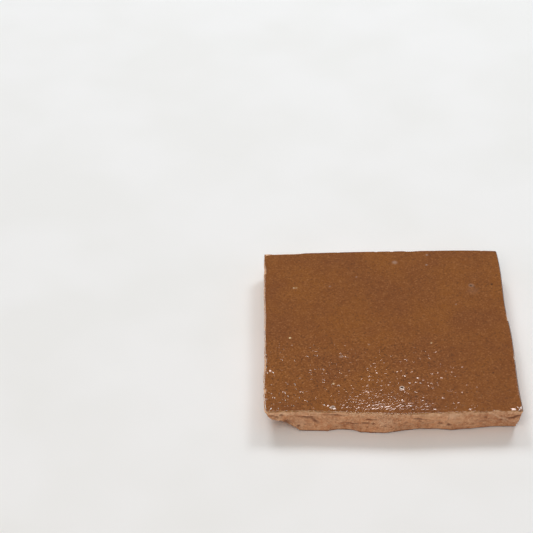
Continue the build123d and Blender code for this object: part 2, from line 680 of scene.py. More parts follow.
@dataclass(frozen=True)
class CaramelGlaze:
    """Iron-bearing lead glaze over red clay, dipped and once fired.

    It is glassy and clear brown, pools darker where it lies thick, and its skin has the
    fine orange peel and pinholes of gas that left it late.
    """

    body: str = "#8C531F"
    # Pools where it lies thick, pale streaks where it ran thin, and a fine dark mottle
    clouds: tuple[Grain, ...] = (
        Grain("#7E4820", 17.0, 3.0, 0.35, 0.65),
        Grain("#A66E40", 2.6, 4.0, 0.35, 0.70, 0.19),
        Grain("#7E4820", 0.7, 1.0, 0.48, 0.66, 0.65),
    )
    # Iron specks and the clear glass between them. Real ones are a few tenths of a
    # millimetre wide, too fine to show, so they are drawn coarser
    specks: tuple[Grain, ...] = (
        Grain("#5C381F", 0.75, 2.0, 0.56, 0.70, 0.55),
        Grain("#A66E40", 0.75, 2.0, 0.43, 0.29, 0.60),
    )
    front_speck_sparkle: float = 0.6  # how much stronger they are where the glaze is pitted: painted sparkle for the fine glints there
    milk: str = "#CDB7A9"  # fine gas under the surface, and the painted highlight on a crater's lip
    grit: str = "#EBCB8C"  # sand that fell into the melt
    floor: str = "#3C2515"  # dark brown: painted shade in a hole, and the glaze where it lapped the rim
    thin: str = "#B5834F"  # clay seen through the coat's thin edge
    roughness: float = 0.06
    dull_roughness: float = 0.7  # of grit and of glaze that ran over the rim
    index: float = 1.56
    ripple_width: float = 0.8
    ripple_height: float = 0.018
    ripple_turn: float = 45.0  # degrees from X, the way the glaze ran off
    ripple_stretch: tuple[float, float, float] = (1.6, 0.8, 1.0)
    # Finest pits are drawn as wide as they need to be to catch the light in a render
    pits: tuple[Pits, ...] = (
        Pits(1.7, 0.3, 0.55, 0.085, 5.0),
        Pits(2.9, 0.4, 0.75, 0.10, 4.0),
        Pits(4.6, 0.5, 0.9, 0.11, 3.0),
    )
    pit_scatter: float = 0.62  # how far pits lie off a square grid, up to 1
    drift_width: float = 5.0  # of the waves that bend the grid, in spacings of the pits
    drift_share: float = 0.35  # how far they shift it, as a share of their width
    spot_slope: float = 0.11  # of a crater's dome or a bead at its foot
    spot_edge: float = 0.3  # height, as a share of the dome's, where the ripple ends
    lip_highlight_share: float = 0.75  # how milky the lip of a crater is: a painted highlight that adds to its glint
    lip_highlight_reach: tuple[float, float] = (0.78, 0.6)  # where the lip's painted highlight starts and is full, from outside
    hole_reach: tuple[float, float] = (0.40, 0.28)  # where the hole's painted shade starts and is full
    lap_share: float = 0.9  # how dark the glaze is where it ran over the rim

    def hollows(self, make: Shader, size: Pits) -> bpy.types.Node:
        """Small round hollows, one to a cell, most of them shallower than the steepest.

        Args:
            make: the material being built.
            size: what the hollows are like.

        Returns:
            The node with the height, in millimetres.
        """
        spacing = size.spacing
        wave = self.drift_width * spacing
        inputs = {"Vector": make.where, "Scale": per_metre(wave), "Detail": 0.0}
        drift = make.add("ShaderNodeTexNoise", inputs).outputs["Color"]
        inputs = {0: drift, 1: (self.drift_share * wave * MM,) * 3, 2: make.where}
        place = make.add("ShaderNodeVectorMath", inputs, operation="MULTIPLY_ADD")
        inputs = {"Vector": place, "Scale": per_metre(spacing), "Randomness": self.pit_scatter}
        cell = make.add("ShaderNodeTexVoronoi", inputs, voronoi_dimensions="2D").outputs
        steep, wide, _ = make.add("ShaderNodeSeparateColor", {0: cell["Color"]}).outputs
        radii = {"To Min": size.smallest / spacing, "To Max": size.largest / spacing}
        radius = make.add("ShaderNodeMapRange", {"Value": wide, **radii})
        inputs = {0: cell["Distance"], 1: radius}
        reach = make.add("ShaderNodeMath", inputs, operation="DIVIDE")
        deep: Any = make.add("ShaderNodeMath", {0: steep, 1: size.rarity}, operation="POWER")
        for factor in (-size.slope * spacing / 2, radius, make.dome(reach)):
            deep = make.add("ShaderNodeMath", {0: deep, 1: factor}, operation="MULTIPLY")
        return deep

    def spots(self, make: Shader, marks: tuple[Blemish, ...]) -> tuple[Any, Any, Any, Any]:
        """Domes of the craters and beads.

        Args:
            make: the material being built.
            marks: all the placed blemishes.

        Returns:
            Nodes with the height in millimetres, and how much of a place is a spot, a
            crater's milky rim, a painted highlight, and a crater's hole, painted shade.
        """
        # The height is left out, so that a spot is measured in plan
        inputs = {0: make.where, 1: (1, 1, 0)}
        flat = make.add("ShaderNodeVectorMath", inputs, operation="MULTIPLY")
        height: Any = 0.0
        near: Any = 0.0
        lip_highlight: Any = 0.0
        hole: Any = 0.0
        for mark in marks:
            if mark.kind not in (Flaw.CRATER, Flaw.BEAD):
                continue
            inputs = {0: flat, 1: (mark.x * MM, mark.y * MM, 0.0)}
            away = make.add("ShaderNodeVectorMath", inputs, operation="DISTANCE")
            inputs = {0: away, 1: mark.radius * MM}
            reach = make.add("ShaderNodeMath", inputs, operation="DIVIDE")
            dome = make.dome(reach)
            if mark.kind is Flaw.CRATER:
                # A crater's lip gets a painted highlight and its hole painted shade
                lip_highlight = self.ringed(make, lip_highlight, reach, self.lip_highlight_reach, self.lip_highlight_share)
                hole = self.ringed(make, hole, reach, self.hole_reach, mark.strength)
            inputs = {0: dome, 1: self.spot_slope * mark.radius / 2}
            rise = make.add("ShaderNodeMath", inputs, operation="MULTIPLY")
            height = make.add("ShaderNodeMath", {0: height, 1: rise}, operation="ADD")
            near = self.ringed(make, near, dome, (0.0, self.spot_edge), 1.0)
        return height, near, lip_highlight, hole

    def ringed(
        self, make: Shader, most: Any, value: Any, span: tuple[float, float], share: float
    ) -> bpy.types.Node:
        """Keep the larger of what is there and a share that comes in over a span.

        Args:
            make: the material being built.
            most: the share so far.
            value: what the span is measured on.
            span: where the new share starts, and where it is full.
            share: the new share where it is full.

        Returns:
            The node with the larger share.
        """
        inputs = {"Value": value, "From Min": span[0], "From Max": span[1], "To Max": share}
        ring = make.add("ShaderNodeMapRange", inputs)
        return make.add("ShaderNodeMath", {0: most, 1: ring}, operation="MAXIMUM")

    def relief(self, make: Shader, pitted: Any, domes: Any, near: Any) -> bpy.types.Node:
        """Ripple, pits and spots too fine for the mesh.

        Args:
            make: the material being built.
            pitted: how strong the pits are.
            domes: height of the spots, in millimetres.
            near: how much of a place is a spot.

        Returns:
            The node with the normal.
        """
        turned = make.add(
            "ShaderNodeMapping",
            {
                "Vector": make.where,
                "Rotation": (0.0, 0.0, math.radians(self.ripple_turn)),
                "Scale": self.ripple_stretch,
            },
            vector_type="TEXTURE",
        )
        inputs = {"Vector": turned, "Scale": per_metre(self.ripple_width), "Detail": 0.0}
        ripple = make.add("ShaderNodeTexNoise", inputs)
        height = make.add("ShaderNodeMath", {0: ripple, 1: self.ripple_height}, operation="MULTIPLY")
        for size in self.pits:
            inputs = {0: self.hollows(make, size), 1: pitted}
            layer = make.add("ShaderNodeMath", inputs, operation="MULTIPLY")
            height = make.add("ShaderNodeMath", {0: height, 1: layer}, operation="ADD")
        clear = make.add("ShaderNodeMath", {0: 1.0, 1: near}, operation="SUBTRACT")
        height = make.add("ShaderNodeMath", {0: height, 1: clear}, operation="MULTIPLY")
        height = make.add("ShaderNodeMath", {0: height, 1: domes}, operation="ADD")
        metres = make.add("ShaderNodeMath", {0: height, 1: MM}, operation="MULTIPLY")
        return make.add("ShaderNodeBump", {"Height": metres, "Distance": 1.0, "Strength": 1.0})

    def build(self, marks: tuple[Blemish, ...]) -> bpy.types.Material:
        """Make the material.

        Args:
            marks: the blemishes of the coat that wears it.

        Returns:
            The finished material.
        """
        make = Shader("caramel_lead_glaze")
        coat = {
            name: make.add("ShaderNodeAttribute", attribute_name=name).outputs["Fac"]
            for name in ("pitted", "milk", "hollow", "grit", "thin", "lap")
        }
        domes, near, lip_highlight, hole = self.spots(make, marks)
        # Painted sparkle: specks are stronger where the pits glint
        inputs = {0: coat["pitted"], 1: self.front_speck_sparkle, 2: 1.0}
        speck_sparkle = make.add("ShaderNodeMath", inputs, operation="MULTIPLY_ADD")
        layers = [(make.grain(cloud), cloud.colour) for cloud in self.clouds]
        for speck in self.specks:
            inputs = {0: make.grain(speck), 1: speck_sparkle}
            share = make.add("ShaderNodeMath", inputs, operation="MULTIPLY")
            layers.append((share, speck.colour))
        # Milky clouds, and the painted highlight on craters' lips
        milk = make.add("ShaderNodeMath", {0: coat["milk"], 1: lip_highlight}, operation="MAXIMUM")
        # Painted shade in pinholes and in craters' holes
        hollow = make.add("ShaderNodeMath", {0: coat["hollow"], 1: hole}, operation="MAXIMUM")
        lap = make.add("ShaderNodeMath", {0: coat["lap"], 1: self.lap_share}, operation="MULTIPLY")
        layers += [(milk, self.milk), (hollow, self.floor), (coat["grit"], self.grit)]
        layers += [(coat["thin"], self.thin), (lap, self.floor)]
        dull = make.add("ShaderNodeMath", {0: coat["grit"], 1: lap}, operation="MAXIMUM")
        inputs = {"Value": dull, "To Min": self.roughness, "To Max": self.dull_roughness}
        return make.surface(
            {
                "Base Color": make.coats(self.body, *layers),
                "Roughness": make.add("ShaderNodeMapRange", inputs),
                "IOR": self.index,
                "Normal": self.relief(make, coat["pitted"], domes, near),
            }
        )


@dataclass(frozen=True)
class Terracotta:
    """Low-fired clay, broken by hammer blows.

    It is matt and porous, paler and dusty where it was bruised, with fine sand in it.
    Shade is painted darker into its cracks and pores and along its lower edge.
    """

    deep: str = "#B27249"
    # Colour of the shade painted into cracks, pores and the lower edge
    pore: str = "#7A4932"
    skin: str = "#E8BE97"  # finer and paler clay that the slab was smoothed with
    dust: str = "#F0C9A6"  # where a blow crushed it
    # Unevenly fired patches
    patch: Grain = Grain("#D09368", 9.0, 3.0, 0.36, 0.64)
    # Crumbs of the break, which catch the light
    crumb: Grain = Grain("#E8BC94", 1.8, 3.0, 0.36, 0.68, 0.5)
    # Sand of about 0.3 mm, too fine to show, drawn coarser: its pores, and its pale grains
    sand: tuple[Grain, ...] = (
        Grain("#7A4932", 0.8, 2.0, 0.42, 0.26, 0.5),
        Grain("#E8BC94", 0.8, 2.0, 0.56, 0.72, 0.7),
    )
    sand_height: float = 0.1
    sand_detail: float = 3.0
    sand_strength: float = 0.8
    skin_span: tuple[float, float] = (8.3, 10.2)  # heights where the smooth skin starts, is full
    skin_share: tuple[float, float] = (0.35, 0.85)  # of skin between the crumbs and on them
    # How much of that painted shade shows
    painted_shade_share: float = 0.9
    roughness: float = 0.88
    index: float = 1.5

    def build(self) -> bpy.types.Material:
        """Make the material.

        Returns:
            The finished material.
        """
        make = Shader("fired_terracotta")
        dust, hollow = (
            make.add("ShaderNodeAttribute", attribute_name=name).outputs["Fac"]
            for name in ("dust", "hollow")
        )
        height = make.add("ShaderNodeSeparateXYZ", {0: make.where}).outputs["Z"]
        low, high = (level * MM for level in self.skin_span)
        up = make.add("ShaderNodeMapRange", {"Value": height, "From Min": low, "From Max": high})
        least, most = self.skin_share
        uneven = make.grain(replace(self.crumb, share=most), least)
        skin = make.add("ShaderNodeMath", {0: up, 1: uneven}, operation="MULTIPLY")
        # Painted shade in cracks and pores and along the lower edge
        shade_layer = make.add("ShaderNodeMath", {0: hollow, 1: self.painted_shade_share}, operation="MULTIPLY")
        layers = [(make.grain(grain), grain.colour) for grain in (self.patch, self.crumb, *self.sand)]
        layers += [(skin, self.skin), (dust, self.dust), (shade_layer, self.pore)]
        scale = per_metre(self.sand[0].width)
        inputs = {"Vector": make.where, "Scale": scale, "Detail": self.sand_detail}
        sand = make.add("ShaderNodeTexNoise", inputs)
        inputs = {0: sand, 1: self.sand_height * MM}
        rough = make.add("ShaderNodeMath", inputs, operation="MULTIPLY")
        inputs = {"Height": rough, "Distance": 1.0, "Strength": self.sand_strength}
        return make.surface(
            {
                "Base Color": make.coats(self.deep, *layers),
                "Roughness": self.roughness,
                "IOR": self.index,
                "Normal": make.add("ShaderNodeBump", inputs),
            }
        )


@dataclass(frozen=True)
class PaleFloor:
    """Plain matt white board under the tile."""

    white: str = "#F3F1F0"
    patch: Grain = Grain("#F0EEEC", 60.0, 2.0, 0.4, 0.6)  # where it is a little warmer
    roughness: float = 0.9

    def build(self) -> bpy.types.Material:
        """Make the material.

        Returns:
            The finished material.
        """
        make = Shader("matt_white_board")
        colour = make.coats(self.white, (make.grain(self.patch), self.patch.colour))
        return make.surface({"Base Color": colour, "Roughness": self.roughness})


@dataclass
class Rim:
    """Where the glaze stops and the clay shows, shared by the glaze and the body."""

    radius: float = 0.45
    widest: float = 10.5
    bare: RaggedLine = field(default_factory=lambda: RaggedLine(0.16, 30.0, 1.2, 5))
    bare_least: float = 0.12  # added to that line
    bare_share: tuple[float, ...] = (0.3, 0.0, 0.15, 0.7)  # of the line, on each side
    corner: float = 0.02  # share of a side at its ends where one share turns into the next
    chips: tuple[Chip, ...] = (
        Chip(Side.FRONT, 40.2, 2.6, 0.6),
        Chip(Side.FRONT, 30.4, 0.9, 0.35),
        Chip(Side.FRONT, -39.6, 0.9, 0.3),
        Chip(Side.RIGHT, 7.4, 5.8, 0.6, 0.93, 0.95),
        Chip(Side.RIGHT, -18.3, 3.0, 0.45, 0.9, 0.9),
        Chip(Side.LEFT, 37.2, 5.0, 0.7),
        Chip(Side.LEFT, -22.8, 12.0, 0.7),
        Chip(Side.LEFT, -38.3, 3.6, 0.8),
        Chip(Side.BACK, -41.0, 17.0, 0.7),
        Chip(Side.BACK, 12.0, 6.0, 0.4),
    )
    nicks: int = 18
    nick_sides: tuple[Side, ...] = (Side.LEFT, Side.BACK, Side.BACK, Side.FRONT)
    nick_reach: float = 49.0  # how far from the middle of a side a nick can lie
    nick_length: tuple[float, float] = (0.5, 2.0)
    nick_depth: tuple[float, float] = (0.1, 0.35)
    nick_seed: int = 23

    def all_chips(self) -> list[Chip]:
        """Draw the small chance nicks between the placed chips.

        Returns:
            The placed chips and the nicks.
        """
        draw = np.random.default_rng(self.nick_seed)
        small = [
            Chip(
                self.nick_sides[draw.integers(len(self.nick_sides))],
                draw.uniform(-self.nick_reach, self.nick_reach),
                draw.uniform(*self.nick_length),
                draw.uniform(*self.nick_depth),
            )
            for _ in range(self.nicks)
        ]
        return [*self.chips, *small]

    def bites(self, cad: CadShape, turn: np.ndarray) -> np.ndarray:
        """Depth of the chips at each turn of the outline."""
        x, y = cad.edge(turn)
        return np.max([chip.at(x, y) for chip in self.all_chips()], axis=0)

    def share(self, turn: np.ndarray) -> np.ndarray:
        """How bare the rim is, changing quickly at the corners.

        Args:
            turn: 0 to 4 round the outline.

        Returns:
            A share for each turn.
        """
        ends = (self.corner, 1 - self.corner)
        known = [-self.corner, *(side + end for side in range(4) for end in ends), 4 + self.corner]
        last = self.bare_share[-1]
        values = [last, *(share for share in self.bare_share for _ in ends), self.bare_share[0]]
        return np.interp(turn % 4, known, values)

    def inset(self, cad: CadShape, turn: np.ndarray) -> np.ndarray:
        """How far in from the outline the glaze stops."""
        line = self.bare_least + self.bare.at(cad.place(turn), cad.perimeter)
        return np.maximum(line, 0.0) * self.share(turn) + self.bites(cad, turn)


@dataclass
class GlazeCoat:
    """The glazed face: a thin closed coat that ends raggedly at the cut rim."""

    cad: CadShape
    rim: Rim
    finish: CaramelGlaze
    name: str = "glaze_coat"
    across: int = 280
    edge_rings: tuple[float, ...] = (0.0, 0.03, 0.09, 0.17, 0.27, 0.42, 0.65)
    settle: float = 3.0  # width of the band that follows the ragged edge
    shoulder: float = 0.34  # width of the glaze's rounded shoulder
    drop: float = 0.17  # how far the shoulder falls
    foot: float = 10.2  # height of the coat's hidden underside
    lowered: float = 0.03  # keeps the ripple under the solid's top
    film: float = 0.06  # how far the coat stands over the clay where it laps the rim
    film_margin: float = 0.1  # past the rim's radius, where it still follows the clay
    full_inset: float = 0.12  # of the edge, from where on the shoulder is whole
    lap_full: float = 0.1  # distance from the edge where a lapped rim is darkest
    lap_side: tuple[float, float] = (46.0, 48.0)  # along X, the glaze lapped the right rim only
    calm_band: float = 1.2  # width of the border where the ripple fades
    pitted_y: tuple[float, float] = (8.0, -22.0)  # where the pits start and are full
    pitted_x: tuple[float, float] = (50.0, 0.0)
    healed: Fade = Fade(0.3, -42.0, -50.0)  # share of the pits missing along the front rim
    sheet: float = 104.0  # width that the texture covers
    foot_inset: float = 0.04  # of the underside's edge, from the coat's own
    skirt_share: float = 1.012  # size of that edge on the texture, where the coat's is 1
    under_corner: float = 0.004  # of the underside's own small patch of texture
    under_size: float = 0.006
    swell: Lumps = Lumps("Swell", 9.0, 0.04, 1.0)
    peel: Lumps = Lumps("Peel", 2.6, 0.012, 2.0)
    seed: float = 4.0
    blemishes: tuple[Blemish, ...] = (
        Blemish(Flaw.CRATER, 3.9, -36.0, 1.5),
        Blemish(Flaw.PINHOLE, 35.9, 26.9, 0.85, 0.8),
        Blemish(Flaw.CRATER, -23.4, -47.2, 1.4, 0.6),
        Blemish(Flaw.BEAD, -25.8, -45.6, 1.2),
        Blemish(Flaw.PINHOLE, 44.7, 27.9, 0.7),
        Blemish(Flaw.PINHOLE, 40.4, -27.3, 0.45),
        Blemish(Flaw.PINHOLE, 6.3, -27.5, 0.6),
        Blemish(Flaw.PINHOLE, -20.4, -26.0, 0.45),
        Blemish(Flaw.PINHOLE, 22.6, -7.7, 0.4),
        Blemish(Flaw.CLOUD, 5.0, 42.4, 1.3),
        Blemish(Flaw.CLOUD, 36.1, 27.0, 1.3, 0.8),
        Blemish(Flaw.CLOUD, 36.6, 23.8, 2.9, 0.15),
        Blemish(Flaw.CLOUD, -19.4, -17.6, 0.9),
        Blemish(Flaw.CLOUD, -8.0, -10.3, 0.5),
        Blemish(Flaw.CLOUD, 18.9, 47.6, 0.55, 1.4),
        Blemish(Flaw.CLOUD, 18.3, 40.8, 0.55, 1.4),
        Blemish(Flaw.CLOUD, -11.5, 32.7, 0.45),
        Blemish(Flaw.CLOUD, -22.7, 26.6, 0.45),
        Blemish(Flaw.GRIT, -37.7, 25.7, 0.5, 0.3),
        Blemish(Flaw.GRIT, -36.7, 25.7, 0.5, 0.25),
        Blemish(Flaw.GRIT, -39.6, -6.1, 0.42),
        Blemish(Flaw.GRIT, -22.9, -33.6, 0.4, 0.7),
        Blemish(Flaw.CLOUD, 28.8, 14.7, 0.45),
        Blemish(Flaw.GRIT, 17.1, -9.4, 0.4, 0.5),
        Blemish(Flaw.CLOUD, -35.9, -30.4, 0.45),
        Blemish(Flaw.BEAD, -7.9, -22.9, 0.7),
        Blemish(Flaw.BEAD, -26.6, -32.6, 0.6),
        Blemish(Flaw.BEAD, 27.5, -38.2, 0.7),
        Blemish(Flaw.BEAD, 19.5, -41.3, 0.7),
        Blemish(Flaw.BEAD, 3.5, -42.6, 1.1),
        Blemish(Flaw.BEAD, 13.3, -46.2, 0.8),
        Blemish(Flaw.BEAD, -48.9, -24.4, 2.4),
        Blemish(Flaw.BEAD, -17.9, -17.0, 1.0),
        Blemish(Flaw.BEAD, 10.4, -29.8, 1.0),
        Blemish(Flaw.BEAD, 5.4, -28.6, 0.9),
        Blemish(Flaw.BEAD, 29.9, -47.8, 0.9),
        Blemish(Flaw.BEAD, 47.5, -47.25, 2.1),
        Blemish(Flaw.BEAD, 49.6, -46.2, 1.9),
    )

    def steps(self) -> np.ndarray:
        """Place the grid lines, close together near the edges.

        Returns:
            The lines, from -1 to 1.
        """
        near = np.array(self.edge_rings)
        inner = np.linspace(near[-1] - HALF, HALF - near[-1], self.across)
        lines = np.concatenate([near[:-1] - HALF, inner, HALF - near[:-1][::-1]])
        return lines / HALF

    def grid(self) -> tuple[np.ndarray, ...]:
        """Spread the grid over the face, up to the ragged edge.

        Returns:
            X, Y, distance in from the coat's edge, and that edge's inset.
        """
        steps = self.steps()
        u, v = np.meshgrid(steps, steps)
        ring = np.maximum(np.maximum(np.abs(u), np.abs(v)), TINY)
        flat = turn_of(u / ring, v / ring).ravel()
        x, y = (a.reshape(u.shape) for a in self.cad.edge(flat))
        inset = self.rim.inset(self.cad, flat).reshape(u.shape)
        pull = smooth_step(1 - self.settle / HALF, 1.0, ring)
        scale = ring * (1 - inset / HALF * pull)
        return x * scale, y * scale, (1 - ring) * HALF, inset

    def marks(self, x: np.ndarray, y: np.ndarray) -> tuple[np.ndarray, dict[str, np.ndarray]]:
        """Relief and colour of the placed blemishes.

        Args:
            x: places across.
            y: places from front to back.

        Returns:
            Heights added, and the values milk, painted shade and grit.
        """
        rise = np.zeros_like(x)
        tint = {name: np.zeros_like(x) for name in ("milk", "hollow", "grit")}
        for mark in self.blemishes:
            reach = np.hypot(x - mark.x, y - mark.y) / mark.radius
            if mark.kind in FLAW_HEIGHTS:
                rise += FLAW_HEIGHTS[mark.kind].at(reach)
            if mark.kind in FLAW_TINTS:
                name, fade = FLAW_TINTS[mark.kind]
                tint[name] = np.maximum(tint[name], mark.strength * fade.at(reach))
        return rise, tint

    def mesh(self) -> bpy.types.Object:
        """Make the coat without its fine relief.

        Returns:
            The linked object, with the values that its material and relief read.
        """
        x, y, inner, inset = self.grid()
        fall = np.clip(1 - inner / self.shoulder, 0, 1)
        rise, tint = self.marks(x, y)
        top = self.cad.face(x, y)
        near = inner + inset < self.rim.radius + self.film_margin
        rim = self.cad.drop(np.column_stack([x[near], y[near]]), self.rim.widest)
        top[near] = np.minimum(top[near], rim + self.film)
        whole = smooth_step(0.0, self.full_inset, inset)
        z = top - self.lowered + rise - self.drop * whole * fall**2
        edge = smooth_step(self.rim.radius, self.lap_full, inner)
        pitted = smooth_step(*self.pitted_y, y) * smooth_step(*self.pitted_x, x)
        values = {
            "calm": smooth_step(0.0, self.calm_band, inner),
            "pitted": pitted * (1 - self.healed.at(y)),
            "thin": smooth_step(self.shoulder, 0.0, inner) * whole,
            "lap": edge * (1 - whole) * smooth_step(*self.lap_side, x),
            **tint,
        }
        make = MeshMaker()
        plan = np.stack([x, y], -1)
        top = make.add_points(np.dstack([x, y, z]), **values)
        make.add_grid(top, 0.5 + plan / self.sheet)
        loop = closed_loop(top)
        edge = closed_loop(plan)
        low = drawn_in(edge, self.foot_inset)
        foot = np.column_stack([low, np.full(len(edge), self.foot)])
        under = make.add_points(foot, **{**dict.fromkeys(values, 0.0), "thin": 1.0})
        under = np.append(under, under[0])
        edge = np.append(edge, edge[:1], axis=0)
        skirt = np.stack([0.5 + edge * self.skirt_share / self.sheet, 0.5 + edge / self.sheet])
        make.add_grid(np.stack([under, np.append(loop, loop[0])]), skirt)
        places = self.under_corner + (0.5 + edge[:-1] / self.sheet)[::-1] * self.under_size
        make.add_faces(under[:-1][::-1][None], places)
        return make.build(self.name)

    def relief(self, finish: bpy.types.Material) -> ReliefTree:
        """The ripple that the melt left in the face.

        Args:
            finish: the glaze.

        Returns:
            The tree, ready to run.
        """
        make = ReliefTree("glaze_ripple", self.seed)
        layers = (self.swell, self.peel)
        height = make.pile(*((make.draw_lumps(layer), layer) for layer in layers))
        level = (self.swell.height + self.peel.height) * MM
        sunk = make.add("ShaderNodeMath", {0: height, 1: level}, operation="SUBTRACT")
        calm = make.add("GeometryNodeInputNamedAttribute", {"Name": "calm"})
        height = make.add("ShaderNodeMath", {0: sunk, 1: calm}, operation="MULTIPLY")
        shift = make.add("ShaderNodeCombineXYZ", {"Z": height})
        inputs = {"Geometry": make.start, "Offset": shift}
        make.finish(make.add("GeometryNodeSetPosition", inputs), finish)
        return make

    def build(self) -> bpy.types.Object:
        """Make the finished coat.

        Returns:
            The linked object.
        """
        coat = self.mesh()
        self.relief(self.finish.build(self.blemishes)).apply(coat)
        return coat


@dataclass(frozen=True)
class BodyTexture:
    """Where the parts of the body lie on its texture, which is 1 wide."""

    strip_ends: tuple[float, float] = (0.02, 0.97)  # of each side's strip
    strip_low: float = 0.01  # lower edge of the lowest strip
    strip_step: float = 0.133  # from one strip to the next
    strip_fill: float = 0.95  # share of that step that a strip takes
    strip_height: float = 14.0  # millimetres of profile that fill a strip
    rim_gap: float = 0.3  # millimetres of profile between the sides and the rim
    cap_corner: float = 0.6  # where the hidden cap starts, both ways
    cap_size: float = 0.3
    cap_cover: float = 110.0  # millimetres that its size covers
    cap_shrink: float = 0.99  # of its wall, towards the middle
    bed_middle: tuple[float, float] = (0.24, 0.77)
    bed_scale: float = 0.42 / 104  # of the bedding face, for each millimetre


@dataclass
class ClayBody:
    """The hammered terracotta body: flaked sides, bare rim and bedding face."""

    cad: CadShape
    rim: Rim
    finish: Terracotta
    name: str = "clay_body"
    columns: int = 360  # on each side
    rows: int = 44
    foot_rows: tuple[float, ...] = (0.02, 0.14, 0.34)  # heights of rows along the lower edge
    first_row: float = 0.62  # height of the first of the even rows
    rim_steps: tuple[float, ...] = (0.05, 0.13, 0.22, 0.33, 0.46, 0.65, 0.95, 1.4, 2.0, 2.6)
    sink: Fade = Fade(0.14, 0.0, 0.4)  # how far the clay lies under the glaze at its edge
    tuck: Fade = Fade(0.3, 0.7, 1.6)  # how much further it drops where the glaze hides it
    chip_lean: float = 0.45  # share of a chip's depth that its outer edge falls back
    lean_from: float = 9.4  # height where the side starts to lean back there
    scoop: Fade = Fade(0.5, 1.0, 0.1)  # share of its depth that a chip sinks, over its depth
    scoop_least: float = 0.05  # added to that depth
    cap: float = 10.0  # height of the hidden face under the glaze
    texture: BodyTexture = BodyTexture()
    under: int = 90  # cells across the bedding face
    border: float = 0.5  # width of the bedding face's border, where its cells meet the sides
    border_step: int = 4  # columns of the sides that one cell of it meets
    arris: RaggedLine = field(default_factory=lambda: RaggedLine(0.25, 22.0, 5.0, 9))
    arris_height: float = 0.8  # of the crumbled lower edge
    least_worn: float = 0.15
    foot_painted_shadow: Fade = Fade(1.0, 0.9, 0.35)  # painted contact shadow: how dark that edge is drawn where the tile meets the floor
    rough_up: tuple[float, float] = (0.2, 2.6)  # heights where the break starts, and is whole
    rough_top: float = 9.9  # height where it starts to fade
    rough_fade: float = 0.9  # how much higher it has gone
    rough_least: float = 0.15  # share of the relief left past those heights
    rough_more: Fade = Fade(0.07, 5.0, 8.0)  # added to that share, up the side
    rough_rim_rows: int = 5  # rows of the rim that are rough, before the glaze hides them
    rough_bed: float = 0.3  # share of it on the bedding face
    flake: Lumps = Lumps("Flake", 4.2, 0.42, 1.0)
    # How the noise becomes sharp valleys between level flakes
    flake_steps: tuple[tuple[str, float], ...] = (
        ("SUBTRACT", 0.5),
        ("ABSOLUTE", 0.0),
        ("MINIMUM", 0.22),
        ("MULTIPLY", 4.5),
    )
    crumb: Lumps = Lumps("Crumb", 1.1, 0.2, 3.0)
    layer: Lumps = Lumps("Layer", 1.6, 0.2, 2.0)
    layer_stretch: tuple[float, float, float] = (0.3, 0.3, 1.7)
    layer_step: tuple[float, float] = (0.46, 0.54)  # levels of the noise at a layer's edge
    pore: Lumps = Lumps("Pore", 1.5, 0.15, 0.0)
    pore_step: tuple[float, float] = (0.66, 0.76)  # levels of the noise at a pore's edge
    pore_shade: float = 0.35  # how dark the shade painted into a pore is
    seed: float = 7.0
    front: tuple[float, float] = (-40.0, -46.0)  # along Y, where the front side starts
    gouges: tuple[Gouge, ...] = (
        Gouge(-47.2, 6.6, 4.6, 2.4, -1.2, dust=0.25),
        Gouge(-41.4, 4.4, 3.4, 2.4, 0.5),
        Gouge(-46.8, 8.3, 2.0, 0.5, 0.5),
        Gouge(-45.2, 7.8, 1.8, 0.6, 0.4, -10.0),
        Gouge(-43.3, 8.3, 1.4, 0.6, 0.4),
        Gouge(-43.0, 9.0, 9.0, 1.8, -0.1, dust=0.35),
        Gouge(-33.6, 7.2, 6.0, 0.45, 0.6, -6.0),
        Gouge(-32.0, 8.3, 7.0, 0.5, -0.15, -4.0, 0.5),
        Gouge(-30.3, 5.4, 4.0, 0.9, 0.35, -38.0),
        Gouge(-35.5, 4.4, 6.0, 4.0, -0.1, -30.0, 0.3),
        Gouge(-36.6, 2.7, 1.0, 0.8, 0.5),
        Gouge(-22.4, 8.8, 7.0, 0.4, 0.35),
        Gouge(-8.8, 6.9, 4.6, 0.5, 0.7),
        Gouge(-10.5, 4.85, 3.2, 0.5, 0.65, 5.0),
        Gouge(-16.0, 4.6, 6.0, 0.6, 0.3, 2.0),
        Gouge(-7.6, 4.6, 1.0, 0.9, 0.6),
        Gouge(-3.5, 5.5, 7.0, 5.0, -0.1, 0.0, 0.35),
        Gouge(20.8, 7.0, 5.0, 1.1, -0.4, 68.0, 0.3),
        Gouge(23.0, 8.4, 5.0, 3.4, -0.1, 0.0, 0.55),
        Gouge(18.2, 4.1, 1.8, 0.8, 0.5, -15.0),
        Gouge(21.8, 3.3, 1.3, 1.1, 0.7),
        Gouge(20.0, 2.8, 2.6, 1.6, -0.3, 0.0, 0.3),
        Gouge(10.0, 7.6, 6.0, 0.6, 0.3, -8.0),
        Gouge(35.8, 7.4, 0.8, 0.6, 0.4),
        Gouge(41.3, 7.4, 8.0, 0.9, -0.7, -31.0, 1.0),
        Gouge(47.3, 7.2, 5.8, 0.9, 1.3, 26.0),
        Gouge(46.0, 4.6, 3.4, 2.4, -0.6, 0.0, 0.2),
    )

